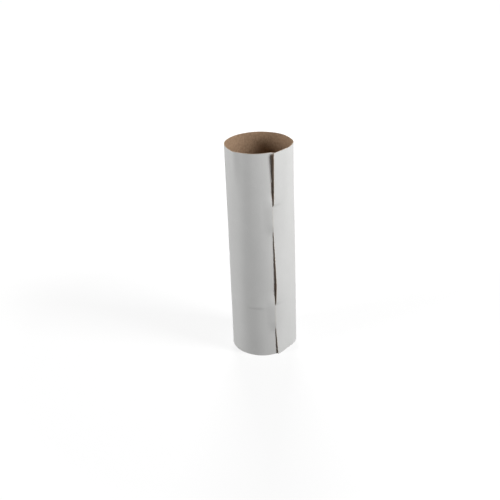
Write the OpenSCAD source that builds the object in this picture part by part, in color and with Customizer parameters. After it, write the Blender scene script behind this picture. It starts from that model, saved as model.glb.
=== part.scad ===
// Mailing tube rolled from one die-cut sheet of card.
// The sheet's outer end lies over its inner end along a seam that faces -Y. Two hook tabs on the outer end
// go through two slits in the inner end and lie inside the wall, so the sheet holds itself closed.
// Z is the tube's axis, and the origin is the middle of the lower mouth.

/* [Tube] */
// Height of the tube
tube_h = 300; // [260:1:400]
// Outside diameter of the round wall
tube_d = 90; // [78:1:120]
// Thickness of the card
card_t = 0.8; // [0.5:0.1:1.2]

/* [Seam] */
// Clear space between two layers of card that lie on each other
layer_gap = 0.3; // [0.15:0.05:0.5]
// Width of the flap that runs on under the outer end
flap_w = 36; // [26:1:44]
// Cut-back of the flap's corners at its free edge
flap_taper = 10; // [4:1:16]
// Length along the wall over which the inner end steps in under the outer end
step_len = 18; // [16:1:30]
// Arc of the wall from the seam, in degrees, over which the outer end lies flatter than the round
flat_arc = 76; // [60:1:88]
// How much flatter than the round the outer end lies at the base
flat_base = 3.6; // [0:0.1:5]
// How much flatter than the round the outer end lies at the top
flat_top = 1.2; // [0:0.1:5]
// How far the wall stands out beyond the round where the flatter part ends
side_bulge = 1.1; // [0:0.1:2]
// Arc of the wall from the seam, in degrees, at which that bulge begins
bulge_arc = 48; // [40:1:60]

/* [Free edge] */
// How far the free edge springs off at the base
lift_base = 1.2; // [0:0.1:4]
// How far the free edge springs off above a lock
lift_middle = 2; // [0:0.1:4]
// How far the free edge springs off at the top
lift_top = 4; // [0:0.1:6]
// How far the free edge stands back from the slits where it springs off
edge_back = 1.9; // [0:0.1:4]
// Length of the outer end along the wall that bends with the free edge
lift_reach = 26; // [16:1:40]

/* [Locks] */
// Distance from the base to the lower slit
base_margin = 33; // [24:1:44]
// Distance from the upper slit to the top
top_margin = 42; // [30:1:50]
// Length of a slit
slit_len = 78; // [64:1:80]
// Width of the cut
slit_w = 0.8; // [0.5:0.1:1.2]
// Height above a slit's lower end of the short cross cut into the flap
cross_up = 34; // [10:1:50]
// Length of the cross cut
cross_len = 16; // [6:1:22]
// Length of a slit over which its lips spring back above the tab
shut_len = 20; // [8:1:24]
// Length of card on both sides of a slit that bends as the tab spreads it
spread_reach = 14; // [8:1:16]
// Length of the outer end that dives into a slit
dive_len = 5; // [3:0.5:8]

/* [Hook tabs] */
// Height of a tab's neck, where it goes through the slit
neck_len = 37; // [24:1:40]
// Free height between a tab's neck and the slit's lower end
neck_play = 8; // [5:0.5:10]
// Depth of a tab behind the wall
tab_depth = 35; // [28:1:44]
// Depth at which a tab lies flat behind the wall, and where its notch ends
tab_bend = 3; // [2:0.5:5]
// How far the hook reaches below the neck
hook_drop = 16; // [6:1:22]
// Depth of the hook's lowest point behind the wall
hook_depth = 15; // [10:1:20]
// How far the tab's end lies above the hook's lowest point
hook_round = 24; // [12:1:30]
// How far the tab's shoulder rises above the neck
shoulder_rise = 3; // [0:0.5:6]
// Radius of the tab's upper corner
shoulder_r = 12; // [4:1:16]

/* [Hidden] */
seam_angle = -90;
arc_fn = 96;
dive_cells = 2;
panel_cells = 13;
side_cells = 8;
step_cells = 4;
flap_cells = 7;
tab_cells = 8;
neck_cells = 4;
margin_cells = 4;
middle_cells = 5;
row_merge = 0.05;
wall_r = (tube_d - card_t) / 2;
quarter_len = wall_r * PI / 2;
quarter_arc = arc_deg(quarter_len);
layer_pitch = card_t + layer_gap;
slit_starts = [base_margin, tube_h - top_margin - slit_len];
neck_starts = [for (start = slit_starts) start + neck_play];
lower_end = slit_starts[0] + slit_len;
upper_end = slit_starts[1] + slit_len;
free_start = neck_play + neck_len;

// Small helpers
function smooth(x) = let (c = min(max(x, 0), 1)) c * c * (3 - 2 * c);
function mix(a, b, x) = a + (b - a) * x;
function steps(a, b, n) = [for (k = [0:n]) mix(a, b, k / n)];
function arc_deg(u) = u / wall_r * 180 / PI;
function sorted(list) = len(list) < 2 ? list :
    let (
        pivot = list[floor(len(list) / 2)],
        below = [for (x = list) if (x < pivot) x],
        level = [for (x = list) if (x == pivot) x],
        above = [for (x = list) if (x > pivot) x]
    )
    concat(sorted(below), level, sorted(above));
function distinct(list) = [
    for (k = [0:len(list) - 1]) if (k == 0 || list[k] - list[k - 1] > row_merge) list[k]
];
function at_locks(offsets) = [for (start = slit_starts, d = offsets) start + d];

// The wall at height v: where the tab's neck spreads a slit, and how far the free edge springs off
function lock_start(v) = v < tube_h / 2 ? slit_starts[0] : slit_starts[1];
function spread(v) =
    let (d = v - lock_start(v))
    smooth(d / neck_play) * (1 - smooth((d - free_start) / shut_len));
function free_share(v) =
    let (d = v - lock_start(v))
    v < neck_starts[0] ? 1 - v / neck_starts[0] :
    v > upper_end ? 1 :
    v > lower_end && v < neck_starts[1] ? (neck_starts[1] - v) / (neck_starts[1] - lower_end) :
    sqrt(max(d - free_start, 0) / (slit_len - free_start));
function lift(v) =
    v < neck_starts[0] ? lift_base * free_share(v) :
    v < upper_end ? lift_middle * free_share(v) :
    mix(lift_middle, lift_top, (v - upper_end) / (tube_h - upper_end));

// Radius of the middle of the card, at u along the wall from the slits and height v
function flatness(u, v) =
    let (share = min(arc_deg(u) / flat_arc, 1))
    mix(flat_base, flat_top, v / tube_h) * pow(sin(180 * share), 2);
function bulge(u) =
    let (share = max(arc_deg(u) - bulge_arc, 0) / (quarter_arc - bulge_arc))
    side_bulge * pow(sin(180 * share), 2);
function spread_share(u, v) = spread(v) * (1 - smooth(abs(u) / spread_reach));
function bend_share(u) = max(1 - u / lift_reach, 0);
function outer_r(u, v) =
    wall_r - flatness(u, v) + bulge(u) + lift(v) * pow(bend_share(u), 2)
        - layer_pitch * spread(v) * (1 - smooth(u / dive_len));
function inner_r(u, v) = u < 0
    ? wall_r - layer_pitch * (smooth(1 + u / step_len) - spread_share(u, v))
    : wall_r - layer_pitch * (1 + spread_share(u, v)) - flatness(u, v);
function tab_r(depth) = wall_r - layer_pitch * (1 + smooth(depth / tab_bend) * smooth(1 - depth / step_len));

// Outline of a tab, as heights above the lower end of its neck at a depth behind the wall
function tab_low(depth) =
    depth <= tab_bend ? 0 :
    depth < hook_depth ? -hook_drop * sin(90 * (depth - tab_bend) / (hook_depth - tab_bend)) :
    let (x = (depth - hook_depth) / (tab_depth - hook_depth))
    -hook_drop + hook_round * (1 - sqrt(max(1 - x * x, 0)));
function tab_high(depth) =
    let (x = max(depth - tab_depth + shoulder_r, 0))
    neck_len + shoulder_rise * smooth((depth - tab_bend) / hook_depth)
        - shoulder_r + sqrt(max(shoulder_r * shoulder_r - x * x, 0));

// Height of a point of the flap, with the corners cut back
function flap_v(u, v) =
    let (cut = flap_taper * max(u, 0) / flap_w)
    v < base_margin ? mix(cut, base_margin, v / base_margin) :
    v > tube_h - top_margin ? tube_h - mix(cut, top_margin, (tube_h - v) / top_margin) :
    v;

function on_wall(r, u, v, side) =
    let (radius = r + (side - 0.5) * card_t, angle = seam_angle + arc_deg(u))
    [radius * cos(angle), radius * sin(angle), v];

// Closed skin round the kept cells of a grid of card. place(i, j, side) is a point of the inner face (side 0)
// or the outer face (side 1), and keep(i, j) says whether the cell between lines i, i + 1 and j, j + 1 is card.
module card_grid(columns, rows, keep, place) {
    at = function(i, j, side) (i * rows + j) * 2 + side;
    kept = function(i, j) i >= 0 && j >= 0 && i < columns - 1 && j < rows - 1 && keep(i, j);
    quad = function(a, b, c, d) [[a, b, c], [a, c, d]];
    edge = function(i, j, p, q) kept(i, j) ? [] :
        quad(at(p[0], p[1], 0), at(p[0], p[1], 1), at(q[0], q[1], 1), at(q[0], q[1], 0));
    points = [
        for (i = [0:columns - 1], j = [0:rows - 1], side = [0, 1]) place(i, j, side)
    ];
    faces = [
        for (i = [0:columns - 2], j = [0:rows - 2]) if (keep(i, j)) each concat(
            quad(at(i, j, 1), at(i, j + 1, 1), at(i + 1, j + 1, 1), at(i + 1, j, 1)),
            quad(at(i, j, 0), at(i + 1, j, 0), at(i + 1, j + 1, 0), at(i, j + 1, 0)),
            edge(i - 1, j, [i, j], [i, j + 1]),
            edge(i, j + 1, [i, j + 1], [i + 1, j + 1]),
            edge(i + 1, j, [i + 1, j + 1], [i + 1, j]),
            edge(i, j - 1, [i + 1, j], [i, j])
        )
    ];
    polyhedron(points, faces);
}

// Back half of the wall, which is plainly round
module back_half() {
    rotate_extrude(angle = 180, $fn = arc_fn)
        translate([wall_r - card_t / 2, 0])
            square([card_t, tube_h]);
}

// Outer end of the sheet, with its free edge and the tabs
module outer_end() {
    depths = concat([tab_bend / 2], [for (k = [0:tab_cells]) mix(tab_bend, tab_depth, sin(90 * k / tab_cells))]);
    tab_us = [for (k = [len(depths) - 1:-1:0]) -depths[k]];
    us = concat(tab_us, steps(slit_w / 2, dive_len, dive_cells), [
        for (k = [1:panel_cells]) mix(dive_len, quarter_len, k / panel_cells)
    ]);
    free_len = slit_len - free_start;
    vs = distinct(sorted(concat(
        steps(0, slit_starts[0], margin_cells),
        at_locks([0, neck_play / 2]),
        at_locks(steps(neck_play, free_start, neck_cells)),
        at_locks([free_start + shut_len / 2, free_start + shut_len]),
        at_locks([free_start + free_len / 2, slit_len]),
        steps(lower_end, slit_starts[1], middle_cells),
        steps(upper_end, tube_h, margin_cells)
    )));
    keep = function(i, j)
        let (d = (vs[j] + vs[j + 1]) / 2 - lock_start(vs[j]))
        i >= len(tab_us) || (d > neck_play && d < free_start);
    place = function(i, j, side)
        let (
            u = us[i],
            v = vs[j],
            neck_low = lock_start(v) + neck_play,
            tab_v = neck_low + mix(tab_low(-u), tab_high(-u), (v - neck_low) / neck_len)
        )
        i < len(tab_us) ? on_wall(tab_r(-u), u, tab_v, side) :
        on_wall(outer_r(u, v), u + edge_back * free_share(v) * bend_share(u), v, side);
    card_grid(len(us), len(vs), keep, place);
}

// Inner end of the sheet, with the slits, and the flap beyond them
module inner_end() {
    us = distinct(sorted(concat(
        steps(-quarter_len, -step_len, side_cells),
        steps(-step_len, -slit_w / 2, step_cells),
        [slit_w / 2 + cross_len],
        steps(slit_w / 2, flap_w, flap_cells)
    )));
    vs = distinct(sorted(concat(
        steps(0, slit_starts[0], margin_cells - 1),
        at_locks([0, neck_play / 2]),
        at_locks(steps(neck_play, free_start, neck_cells - 1)),
        at_locks([cross_up - slit_w / 2, cross_up + slit_w / 2]),
        at_locks([free_start + shut_len / 2, free_start + shut_len, slit_len]),
        steps(lower_end, slit_starts[1], middle_cells - 2),
        steps(upper_end, tube_h, margin_cells - 1)
    )));
    keep = function(i, j)
        let (
            u = (us[i] + us[i + 1]) / 2,
            d = (vs[j] + vs[j + 1]) / 2 - lock_start(vs[j]),
            in_slit = abs(u) < slit_w / 2 && d > 0 && d < slit_len,
            in_cross = u > 0 && u < slit_w / 2 + cross_len && abs(d - cross_up) < slit_w / 2
        )
        !(in_slit || in_cross);
    place = function(i, j, side) on_wall(inner_r(us[i], vs[j]), us[i], flap_v(us[i], vs[j]), side);
    card_grid(len(us), len(vs), keep, place);
}

// The rolled sheet
module tube() {
    color("white")
        union() {
            back_half();
            outer_end();
            inner_end();
        }
}

tube();
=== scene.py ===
import math

import bpy
from mathutils import Matrix, Vector, kdtree


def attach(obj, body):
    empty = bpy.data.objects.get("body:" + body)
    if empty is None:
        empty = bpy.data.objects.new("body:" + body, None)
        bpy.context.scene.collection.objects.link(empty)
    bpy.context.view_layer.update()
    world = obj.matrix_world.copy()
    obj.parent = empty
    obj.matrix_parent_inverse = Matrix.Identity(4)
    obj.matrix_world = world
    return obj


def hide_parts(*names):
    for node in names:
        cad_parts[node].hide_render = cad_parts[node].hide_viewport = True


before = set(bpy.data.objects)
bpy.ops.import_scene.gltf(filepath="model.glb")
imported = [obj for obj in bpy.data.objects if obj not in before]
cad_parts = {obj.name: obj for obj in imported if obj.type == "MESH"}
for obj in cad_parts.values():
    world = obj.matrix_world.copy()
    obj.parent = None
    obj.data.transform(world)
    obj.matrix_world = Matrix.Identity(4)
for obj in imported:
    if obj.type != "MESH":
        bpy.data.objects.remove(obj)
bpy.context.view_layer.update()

MM = 0.001

# Sizes of the tube, in millimetres and degrees, as its solid has them
TUBE_H = 300.0
TUBE_D = 90.0
CARD_T = 0.8
LAYER_GAP = 0.3
FLAP_W = 36.0
FLAP_TAPER = 10.0
STEP_LEN = 18.0
FLAT_ARC = 76.0
FLAT_BASE = 3.6
FLAT_TOP = 1.2
SIDE_BULGE = 1.1
BULGE_ARC = 48.0
LIFT_BASE = 1.2
LIFT_MIDDLE = 2.0
LIFT_TOP = 4.0
EDGE_BACK = 1.9
LIFT_REACH = 26.0
BASE_MARGIN = 33.0
TOP_MARGIN = 42.0
SLIT_LEN = 78.0
SLIT_W = 0.8
CROSS_UP = 34.0
CROSS_LEN = 16.0
SHUT_LEN = 20.0
SPREAD_REACH = 14.0
NECK_LEN = 37.0
NECK_PLAY = 8.0
TAB_DEPTH = 35.0
TAB_BEND = 3.0
HOOK_DROP = 16.0
HOOK_DEPTH = 15.0
HOOK_ROUND = 24.0
SHOULDER_RISE = 3.0
SHOULDER_R = 12.0
SEAM_ANGLE = -90.0
QUARTER_ARC = 90.0

# Small forms of the card that only the scene has, in millimetres and degrees
SPREAD_LEN = 22.0
TOP_ROUND = 1.8
TOP_LEN = 90.0
SHOW_THROUGH = 0.07
SHOW_EDGE = 2.0
KINK_RISE = 1.6
KINK_ANGLE = 204.0
KINK_ARC = 14.0
KINK_LEN = 70.0
CREASE_RISE = 0.32
CREASE_V = 75.0
CREASE_W = 2.0
CREASE_FADE = 12.0
CREASE_ENDS = (-42.0, -11.0)
CREASE_TAPER = 8.0
WAVE = 0.12
# Power with which the groove opens above the lower and the upper lock
OPENING = (0.36, 0.22)
# Each wave: its share, waves round the tube, height over which it turns by one radian, and start
WAVES = ((1.0, 5, 41.0, 0.0), (1.0, 9, -67.0, 1.3), (0.6, 3, 23.0, 0.4))

# Sizes that follow from the others
WALL_R = (TUBE_D - CARD_T) / 2
QUARTER = WALL_R * math.pi / 2
PITCH = CARD_T + LAYER_GAP
SLITS = (BASE_MARGIN, TUBE_H - TOP_MARGIN - SLIT_LEN)
NECKS = tuple(start + NECK_PLAY for start in SLITS)
LOWER_END = SLITS[0] + SLIT_LEN
UPPER_END = SLITS[1] + SLIT_LEN
FREE_START = NECK_PLAY + NECK_LEN
# Greatest value of sin(2x) cos(x), by which the flatness is scaled
FLAT_PEAK = 4 / math.sqrt(27)

# Fineness of the mesh
ROW_STEP = 2.4
COLUMN_STEP = 1.7
LEAST_STEP = 0.02
BACK_CELLS = 64
TAB_CELLS = 18
SHARP_DEG = 38.0


def clamp(x):
    return min(max(x, 0.0), 1.0)


def smooth(x):
    c = clamp(x)
    return c * c * (3 - 2 * c)


def mix(a, b, x):
    return a + (b - a) * x


def steps(a, b, n):
    return [mix(a, b, k / n) for k in range(n + 1)]


def arc_deg(u):
    return math.degrees(u / WALL_R)


# The wall at a height: the lock beside it, the neck that spreads its slit, and the free edge that springs off
def lock_start(v):
    return SLITS[0] if v < TUBE_H / 2 else SLITS[1]


def spread(v):
    d = v - lock_start(v)
    return smooth(d / SPREAD_LEN) * (1 - smooth((d - FREE_START) / SHUT_LEN))


def free_share(v):
    d = v - lock_start(v)
    if v < NECKS[0]:
        return 1 - v / NECKS[0]
    if v > UPPER_END:
        return 1.0
    if LOWER_END < v < NECKS[1]:
        return (NECKS[1] - v) / (NECKS[1] - LOWER_END)
    opening = OPENING[0] if v < TUBE_H / 2 else OPENING[1]
    return (max(d - FREE_START, 0) / (SLIT_LEN - FREE_START)) ** opening


def lift(v):
    if v < NECKS[0]:
        return LIFT_BASE * free_share(v)
    if v < UPPER_END:
        return LIFT_MIDDLE * free_share(v)
    return mix(LIFT_MIDDLE, LIFT_TOP, (v - UPPER_END) / (TUBE_H - UPPER_END))


# Radius of the middle of the card, at u along the wall from the slits and height v
def flatness(u, v):
    share = min(arc_deg(u) / FLAT_ARC, 1.0)
    form = math.sin(math.pi * share) * math.cos(math.pi / 2 * share) / FLAT_PEAK
    return mix(FLAT_BASE, FLAT_TOP, v / TUBE_H) * form


def bulge(u):
    share = max(arc_deg(u) - BULGE_ARC, 0) / (QUARTER_ARC - BULGE_ARC)
    return SIDE_BULGE * math.sin(math.pi * share) ** 2


# Near the upper mouth the outer end stands further out
def top_round(u, v):
    return TOP_ROUND * math.sin(math.pi * u / QUARTER) ** 2 * smooth(1 - (TUBE_H - v) / TOP_LEN)


def spread_share(u, v):
    return spread(v) * (1 - smooth(abs(u) / SPREAD_REACH))


def bend_share(u):
    return max(1 - u / LIFT_REACH, 0.0)


def outer_r(u, v):
    return WALL_R - flatness(u, v) + bulge(u) + top_round(u, v) + lift(v) * bend_share(u) ** 2


# Left of the slits the wall steps in under the outer end, but lies over the necks of the tabs
def left_r(u, v):
    return WALL_R - PITCH * (smooth(1 + u / STEP_LEN) - 2 * spread_share(u, v))


def inner_r(u, v):
    if u < 0:
        return left_r(u, v) + tab_shows(-u, v) + crease(u, v)
    return WALL_R - PITCH - flatness(u, v)


def tab_r(depth, v):
    return left_r(-depth, v) - PITCH


# Outline of a hook tab, as heights above the lower end of its neck
def tab_low(depth):
    if depth <= TAB_BEND:
        return 0.0
    if depth < HOOK_DEPTH:
        return -HOOK_DROP * math.sin(math.pi / 2 * (depth - TAB_BEND) / (HOOK_DEPTH - TAB_BEND))
    x = (depth - HOOK_DEPTH) / (TAB_DEPTH - HOOK_DEPTH)
    return -HOOK_DROP + HOOK_ROUND * (1 - math.sqrt(max(1 - x * x, 0)))


def tab_high(depth):
    x = max(depth - TAB_DEPTH + SHOULDER_R, 0)
    corner = SHOULDER_R - math.sqrt(max(SHOULDER_R ** 2 - x * x, 0))
    return NECK_LEN + SHOULDER_RISE * smooth((depth - TAB_BEND) / HOOK_DEPTH) - corner


# The wall stands out a little where a tab lies behind it
def tab_shows(depth, v):
    if depth > TAB_DEPTH:
        return 0.0
    d = v - lock_start(v) - NECK_PLAY
    inside = min(d - tab_low(depth), tab_high(depth) - d, TAB_DEPTH - depth)
    return SHOW_THROUGH * smooth(inside / SHOW_EDGE + 0.5)


# A faint crease across the wall over the lower tab
def crease(u, v):
    above = v - CREASE_V
    side = 2 * smooth(above / CREASE_W + 0.5) - 1
    along = smooth((u - CREASE_ENDS[0]) / CREASE_TAPER) * smooth((CREASE_ENDS[1] - u) / CREASE_TAPER)
    return CREASE_RISE / 2 * side * along * max(1 - abs(above) / CREASE_FADE, 0)


# Height of a point of the flap, with the corners cut back
def flap_v(u, v):
    cut = FLAP_TAPER * max(u, 0) / FLAP_W
    if v < BASE_MARGIN:
        return mix(cut, BASE_MARGIN, v / BASE_MARGIN)
    if v > TUBE_H - TOP_MARGIN:
        return TUBE_H - mix(cut, TOP_MARGIN, (TUBE_H - v) / TOP_MARGIN)
    return v


# Slow waves of a card that has been rolled by hand
def wave(angle, v):
    a = math.radians(angle)
    return WAVE * sum(share * math.sin(count * a + v / height + start) for share, count, height, start in WAVES)


# A soft kink that runs down from the upper edge, left of the seam
def kink(angle, v):
    across = 1 - smooth(abs(angle - KINK_ANGLE) / KINK_ARC)
    return KINK_RISE * across * smooth(1 - (TUBE_H - v) / KINK_LEN)


# A point of the card's inner face (side 0) or outer face (side 1), in metres
def on_wall(r, angle, v, side):
    radius = r + (side - 0.5) * CARD_T + wave(angle, v) + kink(angle, v)
    a = math.radians(angle)
    return (radius * math.cos(a) * MM, radius * math.sin(a) * MM, v * MM)


def refined(marks, step):
    marks = sorted(marks)
    out = [marks[0]]
    for a, b in zip(marks, marks[1:]):
        if b - a < LEAST_STEP:
            continue
        n = max(1, math.ceil((b - a) / step))
        out += steps(a, b, n)[1:]
    return out


# One grid over the whole sheet, from the ends of the tabs round the tube to the end of the flap.
# A column is (kind, u, angle, length along the sheet).
def sheet_columns():
    depths = [TAB_BEND / 2]
    for k in range(TAB_CELLS + 1):
        depths.append(mix(TAB_BEND, TAB_DEPTH, math.sin(math.pi / 2 * k / TAB_CELLS)))
    columns = [("tab", -d, SEAM_ANGLE + arc_deg(-d), -d) for d in reversed(depths)]
    for u in refined([SLIT_W / 2, LIFT_REACH, QUARTER], COLUMN_STEP):
        columns.append(("outer", u, SEAM_ANGLE + arc_deg(u), u))
    for k in range(1, BACK_CELLS):
        angle = 180.0 * k / BACK_CELLS
        columns.append(("round", 0.0, angle, QUARTER + math.radians(angle) * WALL_R))
    marks = [-QUARTER, -STEP_LEN, -SLIT_W / 2, SLIT_W / 2, SLIT_W / 2 + CROSS_LEN, FLAP_W]
    for u in refined(marks, COLUMN_STEP):
        columns.append(("inner", u, SEAM_ANGLE + arc_deg(u) + 360.0, 4 * QUARTER + u))
    return columns


def sheet_rows():
    marks = [0.0, CREASE_V - CREASE_W / 2, CREASE_V, CREASE_V + CREASE_W / 2, TUBE_H]
    for start in SLITS:
        marks += [start, start + NECK_PLAY, start + FREE_START, start + FREE_START + SHUT_LEN, start + SLIT_LEN]
        marks += [start + CROSS_UP - SLIT_W / 2, start + CROSS_UP + SLIT_W / 2]
    return refined(marks, ROW_STEP)


# Whether the cell between columns i, i + 1 and rows j, j + 1 is card
def sheet_keep(columns, rows):
    def keep(i, j):
        a, b = columns[i], columns[i + 1]
        v = (rows[j] + rows[j + 1]) / 2
        d = v - lock_start(v)
        if a[0] == "tab":
            return NECK_PLAY < d < FREE_START
        if a[0] == "inner" and b[0] == "inner":
            u = (a[1] + b[1]) / 2
            in_slit = abs(u) < SLIT_W / 2 and 0 < d < SLIT_LEN
            in_cross = 0 < u < SLIT_W / 2 + CROSS_LEN and abs(d - CROSS_UP) < SLIT_W / 2
            return not (in_slit or in_cross)
        return True
    return keep


def sheet_point(column, v, side):
    kind, u, angle, _ = column
    if kind == "tab":
        low = lock_start(v) + NECK_PLAY
        height = low + mix(tab_low(-u), tab_high(-u), (v - low) / NECK_LEN)
        return on_wall(tab_r(-u, height), angle, height, side)
    if kind == "outer":
        back = EDGE_BACK * free_share(v) * bend_share(u)
        return on_wall(outer_r(u, v), angle + arc_deg(back), v, side)
    if kind == "round":
        return on_wall(WALL_R, angle, v, side)
    return on_wall(inner_r(u, v), angle, flap_v(u, v), side)


OUTSIDE, INSIDE, CUT = 0, 1, 2


def card_mesh(name):
    columns, rows = sheet_columns(), sheet_rows()
    keep = sheet_keep(columns, rows)
    n_col, n_row = len(columns), len(rows)
    kept = [[keep(i, j) for j in range(n_row - 1)] for i in range(n_col - 1)]

    def is_card(i, j):
        return 0 <= i < n_col - 1 and 0 <= j < n_row - 1 and kept[i][j]

    index, points, sheet, rim = {}, [], [], set()

    def at(i, j, side):
        key = (i, j, side)
        if key not in index:
            index[key] = len(points)
            points.append(sheet_point(columns[i], rows[j], side))
            sheet.append((columns[i][3] * MM, points[-1][2], 0.0))
        return index[key]

    faces, kinds = [], []

    def edge(i, j, p, q):
        if not is_card(i, j):
            faces.append((at(*p, 0), at(*p, 1), at(*q, 1), at(*q, 0)))
            kinds.append(CUT)
            rim.update(faces[-1])

    for i in range(n_col - 1):
        for j in range(n_row - 1):
            if not kept[i][j]:
                continue
            faces.append((at(i, j, 1), at(i + 1, j, 1), at(i + 1, j + 1, 1), at(i, j + 1, 1)))
            kinds.append(OUTSIDE)
            faces.append((at(i, j, 0), at(i, j + 1, 0), at(i + 1, j + 1, 0), at(i + 1, j, 0)))
            kinds.append(INSIDE)
            edge(i - 1, j, (i, j + 1), (i, j))
            edge(i, j + 1, (i + 1, j + 1), (i, j + 1))
            edge(i + 1, j, (i + 1, j), (i + 1, j + 1))
            edge(i, j - 1, (i, j), (i + 1, j))

    mesh = bpy.data.meshes.new(name)
    mesh.from_pydata(points, [], faces)
    mesh.polygons.foreach_set("material_index", kinds)
    mesh.polygons.foreach_set("use_smooth", [True] * len(faces))
    mesh.set_sharp_from_angle(angle=math.radians(SHARP_DEG))

    # Place on the flat sheet, and distance to the nearest cut edge in millimetres
    tree = kdtree.KDTree(len(rim))
    for k in rim:
        tree.insert(Vector(sheet[k]), k)
    tree.balance()
    to_rim = [tree.find(Vector(s))[2] / MM for s in sheet]
    on_sheet = [c for s in sheet for c in s]
    mesh.attributes.new("sheet", "FLOAT_VECTOR", "POINT").data.foreach_set("vector", on_sheet)
    mesh.attributes.new("to_rim", "FLOAT", "POINT").data.foreach_set("value", to_rim)
    mesh.update()
    return mesh


def add_node(tree, kind, inputs=None, **settings):
    made = tree.nodes.new(kind)
    for key, value in settings.items():
        setattr(made, key, value)
    for key, value in (inputs or {}).items():
        if isinstance(value, bpy.types.NodeSocket):
            tree.links.new(value, made.inputs[key])
        else:
            made.inputs[key].default_value = value
    return made


def new_material(name):
    material = bpy.data.materials.new(name)
    material.use_nodes = True
    material.node_tree.nodes.clear()
    return material, material.node_tree


# Sockets of a Mix node, by number: for numbers, and for colours
MIX_SHARE = 0
NUMBER_A, NUMBER_B, NUMBER_OUT = 2, 3, 0
COLOUR_A, COLOUR_B, COLOUR_OUT = 6, 7, 2


def blend_number(tree, share, a, b):
    return add_node(tree, "ShaderNodeMix", {MIX_SHARE: share, NUMBER_A: a, NUMBER_B: b}).outputs[NUMBER_OUT]


def blend_colour(tree, share, a, b):
    made = add_node(tree, "ShaderNodeMix", {MIX_SHARE: share, COLOUR_A: a, COLOUR_B: b}, data_type="RGBA")
    return made.outputs[COLOUR_OUT]


def combined(tree, operation, a, b):
    return add_node(tree, "ShaderNodeMath", {0: a, 1: b}, operation=operation).outputs[0]


def ranged(tree, value, low, high, to_low, to_high):
    return add_node(tree, "ShaderNodeMapRange", {
        "Value": value, "From Min": low, "From Max": high, "To Min": to_low, "To Max": to_high}).outputs[0]


# Card: fibres and specks per metre of sheet, the shares of each, and the ranges of noise that they show in
FIBRES = (1500.0, 170.0, 1.0)
SPECKS = 900.0
CLOUD_SHARE = 0.45
TONE_RANGE = (0.34, 0.66)
SPECK_RANGE = (0.66, 0.76)
WORN_SHARE = 0.75
WORN_RANGE = (0.4, 0.7)
SPECK_RELIEF = 0.35
BUMP_STRENGTH = 0.5
ROUGH_RANGE = (0.3, 0.7)
ROUGH_SWING = 0.06
SPECULAR = 0.12
WHITE = (1, 1, 1, 1)


# Card: fibres that run up the tube, slow clouding, fine specks, and wear along the cut edges
def card_material(name, light, dark, cloud_scale, fleck, fleck_share, worn, worn_reach, roughness, relief):
    material, tree = new_material(name)
    sheet = add_node(tree, "ShaderNodeAttribute", attribute_name="sheet").outputs["Vector"]
    to_rim = add_node(tree, "ShaderNodeAttribute", attribute_name="to_rim").outputs["Fac"]
    along = add_node(tree, "ShaderNodeMapping", {"Vector": sheet, "Scale": FIBRES}).outputs[0]
    fibre = add_node(tree, "ShaderNodeTexNoise", {
        "Vector": along, "Scale": 1.0, "Detail": 5.0, "Roughness": 0.62, "Distortion": 0.6}).outputs["Fac"]
    cloud = add_node(tree, "ShaderNodeTexNoise", {
        "Vector": sheet, "Scale": cloud_scale, "Detail": 4.0, "Roughness": 0.55}).outputs["Fac"]
    speck = add_node(tree, "ShaderNodeTexNoise", {
        "Vector": sheet, "Scale": SPECKS, "Detail": 2.0, "Roughness": 0.5}).outputs["Fac"]
    tone = blend_number(tree, CLOUD_SHARE, fibre, cloud)
    colour = blend_colour(tree, ranged(tree, tone, *TONE_RANGE, 0.0, 1.0), dark, light)
    colour = blend_colour(tree, ranged(tree, speck, *SPECK_RANGE, 0.0, fleck_share), colour, fleck)
    near_rim = ranged(tree, to_rim, 0.0, worn_reach, WORN_SHARE, 0.0)
    scuff = combined(tree, "MULTIPLY", near_rim, ranged(tree, fibre, *WORN_RANGE, 0.0, 1.0))
    colour = blend_colour(tree, scuff, colour, worn)
    height = blend_number(tree, SPECK_RELIEF, fibre, speck)
    bump = add_node(tree, "ShaderNodeBump", {
        "Height": height, "Strength": BUMP_STRENGTH, "Distance": relief}).outputs[0]
    shader = add_node(tree, "ShaderNodeBsdfPrincipled", {
        "Base Color": colour,
        "Roughness": ranged(tree, fibre, *ROUGH_RANGE, roughness - ROUGH_SWING, roughness + ROUGH_SWING),
        "Specular IOR Level": SPECULAR,
        "Normal": bump})
    add_node(tree, "ShaderNodeOutputMaterial", {"Surface": shader.outputs[0]})
    return material


white_liner = card_material(
    "white_liner", light=(0.80, 0.80, 0.79, 1), dark=(0.755, 0.757, 0.745, 1), cloud_scale=38.0,
    fleck=(0.62, 0.60, 0.56, 1), fleck_share=0.35, worn=(0.66, 0.60, 0.52, 1), worn_reach=1.0,
    roughness=0.6, relief=0.00006)
brown_back = card_material(
    "brown_back", light=(0.46, 0.318, 0.214, 1), dark=(0.26, 0.174, 0.111, 1), cloud_scale=300.0,
    fleck=(0.17, 0.100, 0.055, 1), fleck_share=0.6, worn=(0.52, 0.38, 0.26, 1), worn_reach=1.2,
    roughness=0.82, relief=0.00012)
cut_edge = card_material(
    "cut_edge", light=(0.60, 0.49, 0.38, 1), dark=(0.45, 0.345, 0.25, 1), cloud_scale=200.0,
    fleck=(0.33, 0.24, 0.16, 1), fleck_share=0.6, worn=(0.62, 0.52, 0.41, 1), worn_reach=0.4,
    roughness=0.88, relief=0.0001)

card = bpy.data.objects.new("tube_card", card_mesh("tube_card"))
bpy.context.scene.collection.objects.link(card)
# In the order of OUTSIDE, INSIDE and CUT
for material in (white_liner, brown_back, cut_edge):
    card.data.materials.append(material)
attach(card, "root")
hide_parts("tube")

# Camera: its angles in degrees, its place in metres, and its focal length in pixels of the photo's frame
VIEW_ANGLE = 20.0
PITCH_DEG = 25.527
ROLL_DEG = -2.303
CAMERA_AT = Vector((-0.42158, -1.11074, 0.71112))
FOCAL_PX = 950.0
FRAME_PX = 500.0
SENSOR_MM = 36.0
NEAR_CLIP = 0.01

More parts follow.
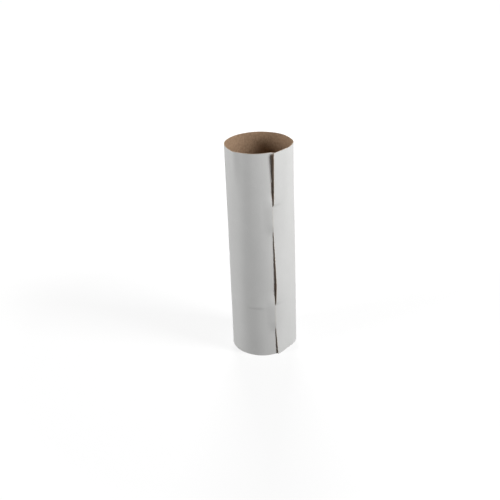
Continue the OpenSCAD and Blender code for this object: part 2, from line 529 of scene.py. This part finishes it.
turn, tilt, roll = (math.radians(a) for a in (VIEW_ANGLE, PITCH_DEG, ROLL_DEG))
ahead_flat = Vector((math.sin(turn), math.cos(turn), 0))
right_flat = Vector((math.cos(turn), -math.sin(turn), 0))
ahead = ahead_flat * math.cos(tilt) - Vector((0, 0, math.sin(tilt)))
up_level = ahead_flat * math.sin(tilt) + Vector((0, 0, math.cos(tilt)))
right = right_flat * math.cos(roll) + up_level * math.sin(roll)
up = up_level * math.cos(roll) - right_flat * math.sin(roll)
camera_data = bpy.data.cameras.new("camera")
camera_data.sensor_fit = "HORIZONTAL"
camera_data.sensor_width = SENSOR_MM
camera_data.lens = SENSOR_MM * FOCAL_PX / FRAME_PX
camera_data.clip_start = NEAR_CLIP
camera = bpy.data.objects.new("camera", camera_data)
camera.matrix_world = Matrix((right, up, -ahead)).transposed().to_4x4()
camera.matrix_world.translation = CAMERA_AT
bpy.context.scene.collection.objects.link(camera)
bpy.context.scene.camera = camera

# Light: large lamps on both sides and behind, the right side stronger, and a very dim even sky
LAMP_REACH = 1.8
LAMP_SIZE = 0.6
LAMP_AIM = Vector((0, 0, 0.17))
SKY = 0.004


# bearing is in degrees from the camera's side of the tube to the right, and rise in degrees above the floor
def area_light(name, bearing, rise, power):
    b, e = math.radians(bearing), math.radians(rise)
    outward = right_flat * math.sin(b) - ahead_flat * math.cos(b)
    data = bpy.data.lights.new(name, "AREA")
    data.shape = "SQUARE"
    data.size = LAMP_SIZE
    data.energy = power
    lamp = bpy.data.objects.new(name, data)
    lamp.location = LAMP_AIM + (outward * math.cos(e) + Vector((0, 0, math.sin(e)))) * LAMP_REACH
    lamp.rotation_euler = (LAMP_AIM - lamp.location).to_track_quat("-Z", "Y").to_euler()
    bpy.context.scene.collection.objects.link(lamp)


area_light("right_low", bearing=66, rise=18, power=11.5)
area_light("right_high", bearing=65, rise=34, power=19.0)
area_light("left", bearing=-69, rise=17, power=19.4)
area_light("back", bearing=180, rise=34, power=20.0)


# 1 for a ray that comes from the camera, a reflection or through glass, and 0 for one that only lights
def seen_directly(tree):
    ray = add_node(tree, "ShaderNodeLightPath").outputs
    seen = combined(tree, "MAXIMUM", ray["Is Camera Ray"], ray["Is Glossy Ray"])
    return combined(tree, "MAXIMUM", seen, ray["Is Transmission Ray"])


world = bpy.data.worlds.new("studio")
world.use_nodes = True
sky = world.node_tree
sky.nodes.clear()
strength = ranged(sky, seen_directly(sky), 0.0, 1.0, SKY, 1.0)
background = add_node(sky, "ShaderNodeBackground", {"Color": WHITE, "Strength": strength})
add_node(sky, "ShaderNodeOutputWorld", {"Surface": background.outputs[0]})
bpy.context.scene.world = world

# Floor: white to the camera apart from the tube's shadow, and dark inside the tube, where ambient occlusion
# dims its glow: painted shade
FLOOR_HALF = 4.0
FLOOR_GLOW = 0.80
FLOOR_FADE = (0.35, 1.1)
FLOOR_SHADOW = 0.21
FLOOR_BOUNCE = 0.1
FLOOR_HIDDEN = 0.04
SKY_REACH = 0.15
SKY_OPEN = (0.15, 0.35)

floor_material, floor_tree = new_material("floor")
dim = add_node(floor_tree, "ShaderNodeBsdfDiffuse", {"Color": (FLOOR_BOUNCE, FLOOR_BOUNCE, FLOOR_BOUNCE, 1)})
matt = add_node(floor_tree, "ShaderNodeBsdfDiffuse", {"Color": (FLOOR_SHADOW, FLOOR_SHADOW, FLOOR_SHADOW, 1)})
place = add_node(floor_tree, "ShaderNodeNewGeometry").outputs["Position"]
away = add_node(floor_tree, "ShaderNodeVectorMath", {0: place}, operation="LENGTH").outputs["Value"]
# Painted shade: the floor's glow is dimmed where little sky is open, inside the tube and close by its wall
open_sky = add_node(floor_tree, "ShaderNodeAmbientOcclusion", {"Distance": SKY_REACH}).outputs["AO"]
level = combined(
    floor_tree, "MULTIPLY",
    ranged(floor_tree, away, *FLOOR_FADE, FLOOR_GLOW, 1.0),
    ranged(floor_tree, open_sky, *SKY_OPEN, FLOOR_HIDDEN, 1.0))
glow = add_node(floor_tree, "ShaderNodeEmission", {"Color": WHITE, "Strength": level})
white = add_node(floor_tree, "ShaderNodeAddShader", {0: glow.outputs[0], 1: matt.outputs[0]})
floor_mix = add_node(floor_tree, "ShaderNodeMixShader", {
    0: seen_directly(floor_tree), 1: dim.outputs[0], 2: white.outputs[0]})
add_node(floor_tree, "ShaderNodeOutputMaterial", {"Surface": floor_mix.outputs[0]})
floor_mesh = bpy.data.meshes.new("floor")
corners = ((-1, -1), (1, -1), (1, 1), (-1, 1))
floor_mesh.from_pydata([(x * FLOOR_HALF, y * FLOOR_HALF, 0) for x, y in corners], [], [(0, 1, 2, 3)])
floor = bpy.data.objects.new("floor", floor_mesh)
floor_mesh.materials.append(floor_material)
bpy.context.scene.collection.objects.link(floor)

bpy.context.scene.view_settings.view_transform = "Standard"
